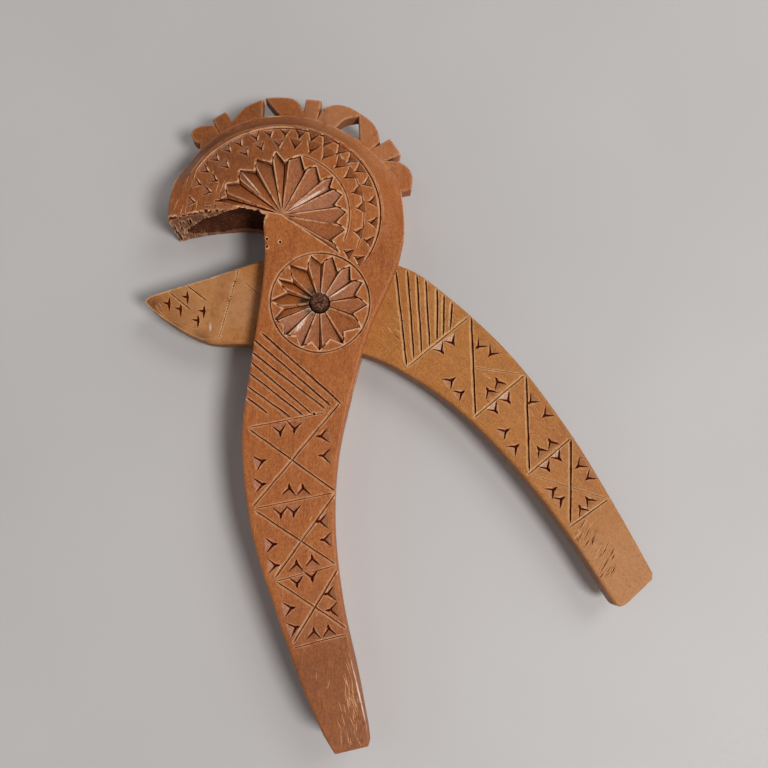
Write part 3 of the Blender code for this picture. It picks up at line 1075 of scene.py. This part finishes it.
class Wood(Graph):
    """Handled and oiled wood. Each layer goes over the colour and the roughness so far."""

    def __init__(self, name, grain_angle):
        super().__init__(name)
        self.place, grain = self.places(grain_angle)
        self.fibres = self.noise(self.stretched(grain, 3.4, 0.22), 1.0, detail=6.0, roughness=0.65)
        self.streaks = self.noise(self.stretched(grain, 0.5, 0.03), 1.0, detail=4.0, distortion=0.5)
        self.clouds = self.noise(self.place, 0.05, detail=4.0)
        self.mottle = self.noise(self.place, 0.5, detail=5.0, roughness=0.7)
        pores = self.noise(self.stretched(grain, 6.0, 0.6), 1.0, detail=2.0)
        self.pores = self.step(pores, 0.61, 0.70)
        self.speckle = self.noise(self.stretched(grain, 3.6, 1.5), 1.0, detail=3.0, roughness=0.6)

    def total(self, first, *others):
        """The sum of values, each times its share."""
        result = self.math("MULTIPLY", *first)
        for value, share in others:
            result = self.math("MULTIPLY_ADD", value, share, result)
        return result

    def tint(self, where, share, colour):
        self.colour = self.mix(self.math("MULTIPLY", where, share), self.colour, colour)

    def figure(self, dark, middle, light):
        """The wood's own tones, in streaks, pores and speckles."""
        tone = self.total((self.fibres, 0.38), (self.streaks, 0.22), (self.clouds, 0.2), (self.mottle, 0.2))
        colour = self.mix(self.step(tone, 0.49, 0.62), middle, light)
        self.colour = self.mix(self.step(tone, 0.5, 0.36), colour, dark)
        self.tint(self.pores, 0.6, dark)
        colour = self.mix(self.step(self.speckle, 0.5, 0.34, 0.0, 0.85), self.colour, dark)
        self.colour = self.mix(self.step(self.speckle, 0.52, 0.68, 0.0, 0.95), colour, light)

    def spot(self, centre, core, edge, colour, share):
        """A tinted place: full within core of the centre, and gone at edge."""
        distance = self.node("VectorMath", {0: self.place, 1: centre}, operation="DISTANCE")
        reach = self.step(distance.outputs["Value"], core, edge, 1.0, 0.0)
        reach = self.math("MULTIPLY", reach, self.step(self.mottle, 0.2, 0.62))
        self.tint(reach, share, colour)

    def soil_and_shade(self, grime_and_shade, side_dirt_and_shade):
        """Dirt and painted shade on the side walls and in the cuts."""
        # Painted shade: side walls are darkened by how steeply they face sideways, with some dirt.
        facing = self.node("SeparateXYZ", {0: self.node("TexCoord").outputs["Normal"]}).outputs["Z"]
        side_wall = self.step(self.math("ABSOLUTE", facing), 0.35, 0.15)
        self.tint(side_wall, side_dirt_and_shade, SIDE_DIRT_AND_SHADE)
        # Painted shade in the crevices, found by ambient occlusion, with grime.
        dirt_and_shade = self.step(self.openness(CUT_REACH), 0.7, 0.3)
        self.dirt_and_shade = self.math("MULTIPLY", dirt_and_shade, self.step(self.mottle, 0.1, 0.5, 0.7, 1.0))
        self.tint(self.dirt_and_shade, grime_and_shade, GRIME_AND_SHADE)

    def wear_and_highlight(self, share, worn):
        """Pale edges: wear, and painted highlight along the convex edges."""
        edge = self.step(self.openness(EDGE_REACH, inside=True), 0.94, 0.70)
        edge = self.math("MULTIPLY", edge, self.step(self.mottle, 0.36, 0.5))
        self.tint(edge, share, worn)

    def roughen(self, roughness):
        """Uneven roughness, higher in the crevices."""
        rough = self.step(self.mottle, 0.25, 0.75, roughness - 0.07, roughness + 0.12)
        self.rough = self.math("MULTIPLY_ADD", self.dirt_and_shade, 0.35, rough)

    def polish_and_highlight(self, centre, heading, half_length, half_width):
        """A long narrow place polished by use: less rough, and tinted pale as a painted highlight."""
        shape = {
            "Vector": self.place,
            "Location": centre,
            "Rotation": (0.0, 0.0, math.radians(heading)),
            "Scale": (half_length, half_width, POLISH_HIGHLIGHT_REACH),
        }
        distance = self.length(self.node("Mapping", shape, vector_type="TEXTURE").outputs[0])
        reach = self.math("MULTIPLY", self.step(distance, 1.0, 0.4), self.step(self.fibres, 0.35, 0.5))
        # Painted highlight: a pale tint where the light would glint.
        self.tint(reach, 0.8, PAINTED_HIGHLIGHT)
        self.rough = self.math("MULTIPLY_ADD", reach, -0.2, self.rough)

    def relief(self):
        """Fibres that stand out, pores that are sunk."""
        return self.total((self.fibres, 0.35), (self.pores, -0.5), (self.mottle, 0.5), (self.speckle, 0.4))


def wood(name, tones, grain, roughness, gloss, grime_and_shade, wear_and_highlight, side_dirt_and_shade=0.0, spots=(), polish_highlights=()):
    """A finished wood. The grime and painted shade in crevices, the wear and painted highlight on edges, and
    the dirt and painted shade on its sides are shares.
    """
    dark, middle, light, worn = (rgb(*tone) for tone in tones)
    made = Wood(name, grain)
    made.figure(dark, middle, light)
    for spot in spots:
        made.spot(*spot)
    made.soil_and_shade(grime_and_shade, side_dirt_and_shade)
    made.wear_and_highlight(wear_and_highlight, worn)
    made.roughen(roughness)
    for place in polish_highlights:
        made.polish_and_highlight(*place)
    made.bump(made.relief(), 0.2)
    made.surface(made.colour, made.rough, gloss)
    return made.material


def reddish_wood(stain_and_shade):
    """The main lever's materials, in the order of their slots."""
    return [
        wood("reddish_wood", RED, MAIN_GRAIN, 0.46, 0.4, 0.8, 0.85, 0.1, RED_SPOTS, RED_EDGE_POLISH_HIGHLIGHTS),
        wood("reddish_wood_pale", RED_PALE, MAIN_GRAIN, 0.42, 0.5, 0.7, 0.6),
        wood("reddish_wood_facet", RED_FACET, MAIN_GRAIN, 0.44, 0.4, 0.8, 0.6, 0.0, RED_SPOTS, RED_POLISH_HIGHLIGHTS),
        wood("reddish_wood_chip", RED_CHIP, MAIN_GRAIN, 0.36, 0.6, 0.75, 0.5, 0.0, RED_SPOTS),
        stain_and_shade,
        wood("hollow_wood", HOLLOW_DIRT_AND_SHADE, MAIN_GRAIN, 0.75, 0.2, 0.8, 0.3),
    ]


def honey_wood(stain_and_shade):
    """The inner lever's materials, in the order of their slots."""
    return [
        wood("honey_wood", HONEY, INNER_GRAIN, 0.48, 0.4, 0.75, 0.75, 0.6, HONEY_SPOTS),
        wood("honey_wood_pale", HONEY_PALE, INNER_GRAIN, 0.42, 0.5, 0.7, 0.6),
        wood("honey_wood_facet", HONEY, INNER_GRAIN, 0.45, 0.5, 0.7, 0.6, 0.0, HONEY_SPOTS, HONEY_POLISH_HIGHLIGHTS),
        wood("honey_wood_chip", HONEY_CHIP, INNER_GRAIN, 0.36, 0.6, 0.6, 0.6, 0.0, HONEY_SPOTS),
        stain_and_shade,
    ]


def end_grain(name):
    """The peg's dark, dirty and crushed wood, paler in flecks."""
    graph = Graph(name)
    place, _ = graph.places()
    flecks = graph.noise(place, 1.6, detail=6.0, roughness=0.75)
    colour = graph.mix(graph.step(flecks, 0.42, 0.56), rgb(0.012, 0.003, 0.001), rgb(0.15, 0.045, 0.014))
    colour = graph.mix(graph.step(flecks, 0.56, 0.68), colour, rgb(0.48, 0.23, 0.12))
    height = graph.node("SeparateXYZ", {0: place}).outputs["Z"]
    colour = graph.mix(graph.step(height, *PEG_DARK_BELOW), colour, rgb(0.03, 0.011, 0.006))
    graph.bump(flecks, 0.3)
    graph.surface(colour, graph.step(flecks, 0.4, 0.7, 0.65, 0.3), gloss=0.35)
    return graph.material


def table_top(name):
    """A pale grey, slightly uneven laminate that glows a little far from the object."""
    graph = Graph(name)
    place, _ = graph.places()
    broad = graph.noise(place, 0.006, detail=3.0)
    fine = graph.noise(place, 0.9, detail=4.0, roughness=0.6)
    colour = graph.mix(graph.step(broad, 0.3, 0.7), rgb(0.53, 0.512, 0.508), rgb(0.57, 0.552, 0.548))
    colour = graph.mix(graph.math("MULTIPLY", fine, 0.12), colour, rgb(0.48, 0.465, 0.46))
    graph.surface(colour, graph.step(fine, 0.2, 0.8, 0.5, 0.62))
    glow = graph.step(graph.length(place), GLOW_START / MM, COVE_START / MM, 0.0, BACKDROP_GLOW)
    graph.fill(graph.shader.inputs["Emission Color"], rgb(0.58, 0.565, 0.56))
    graph.fill(graph.shader.inputs["Emission Strength"], glow)
    return graph.material


# ---- Stage ----


def build_floor(material):
    """A round floor that curves up into a backdrop far from the object."""
    profile = [(COVE_START, 0.0)]
    for i in range(1, COVE_STEPS + 1):
        turn = TAU / 4 * i / COVE_STEPS
        out, up = COVE_RADIUS * math.sin(turn), COVE_RADIUS * (1.0 - math.cos(turn))
        profile.append((COVE_START + out, up))
    profile.append((COVE_START + COVE_RADIUS, COVE_TOP))
    points = []
    for radius, height in profile:
        points += [(*(radius * polar(360 * k / COVE_SIDES, 1.0)), height) for k in range(COVE_SIDES)]
    faces = [tuple(range(COVE_SIDES))]
    for start in range(0, len(points) - COVE_SIDES, COVE_SIDES):
        above = start + COVE_SIDES
        for i in range(COVE_SIDES):
            j = (i + 1) % COVE_SIDES
            faces.append((start + i, above + i, above + j, start + j))
    mesh = bpy.data.meshes.new("floor")
    mesh.from_pydata(points, [], faces)
    mesh.shade_smooth()
    mesh.materials.append(material)
    floor = placed("floor", mesh)
    floor.location.z = FLOOR_LEVEL


def area_light(name, place, size, power, colour):
    data = bpy.data.lights.new(name, "AREA")
    data.shape = "DISK"
    data.size = size
    data.energy = power
    data.color = colour
    light = placed(name, data)
    light.location = place
    light.rotation_mode = "QUATERNION"
    light.rotation_quaternion = (Vector(LIGHT_TARGET) - Vector(place)).to_track_quat("-Z", "Y")
    light.visible_camera = False


def build_lights():
    area_light("lower right", (0.76, -0.56, 1.36), size=0.5, power=16.6, colour=WARM_WHITE)
    area_light("upper right", (0.80, 0.62, 1.25), size=0.8, power=5.7, colour=WARM_WHITE)
    area_light("fill", (-0.45, 0.05, 0.9), size=0.35, power=0.45, colour=(1.0, 1.0, 1.0))
    world = bpy.data.worlds.new("soft grey")
    world.use_nodes = True
    background = world.node_tree.nodes["Background"]
    background.inputs["Color"].default_value = rgb(0.97, 0.97, 1.0)
    background.inputs["Strength"].default_value = WORLD_STRENGTH
    bpy.context.scene.world = world


def build_camera():
    """Straight down from arm's length, with the view shifted so that the whole object is framed."""
    data = bpy.data.cameras.new("camera")
    data.sensor_width = 36.0
    data.lens = 36.09
    data.shift_x = 0.0508
    data.shift_y = 0.1823
    data.clip_start = 0.01
    data.clip_end = 20.0
    camera = placed("camera", data)
    camera.location = CAMERA_PLACE
    bpy.context.scene.camera = camera


def main():
    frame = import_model()
    bpy.context.scene.view_settings.view_transform = "Standard"

    # The cuts' stained bottoms: stain, and painted shade.
    stain_and_shade = wood("stained_and_shaded_cut", STAIN_AND_SHADE, MAIN_GRAIN, 0.8, 0.0, 0.2, 0.1)
    main_wood, inner_wood = reddish_wood(stain_and_shade), honey_wood(stain_and_shade)
    main_lever = build_main_lever(frame["nodes"]["main_lever"], main_wood)
    inner_lever = build_inner_lever(frame["nodes"]["inner_lever"], inner_wood)
    peg = build_peg("peg", end_grain("dark_wood"))
    for piece, body, node, slot in (
        (main_lever, "main", "main_lever", "reddish_wood"),
        (inner_lever, "inner", "inner_lever", "honey_wood"),
        (peg, "main", "pivot_peg", "dark_wood"),
    ):
        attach(piece, body)
        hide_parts(node)

    build_floor(table_top("table_top"))
    build_lights()
    build_camera()


main()
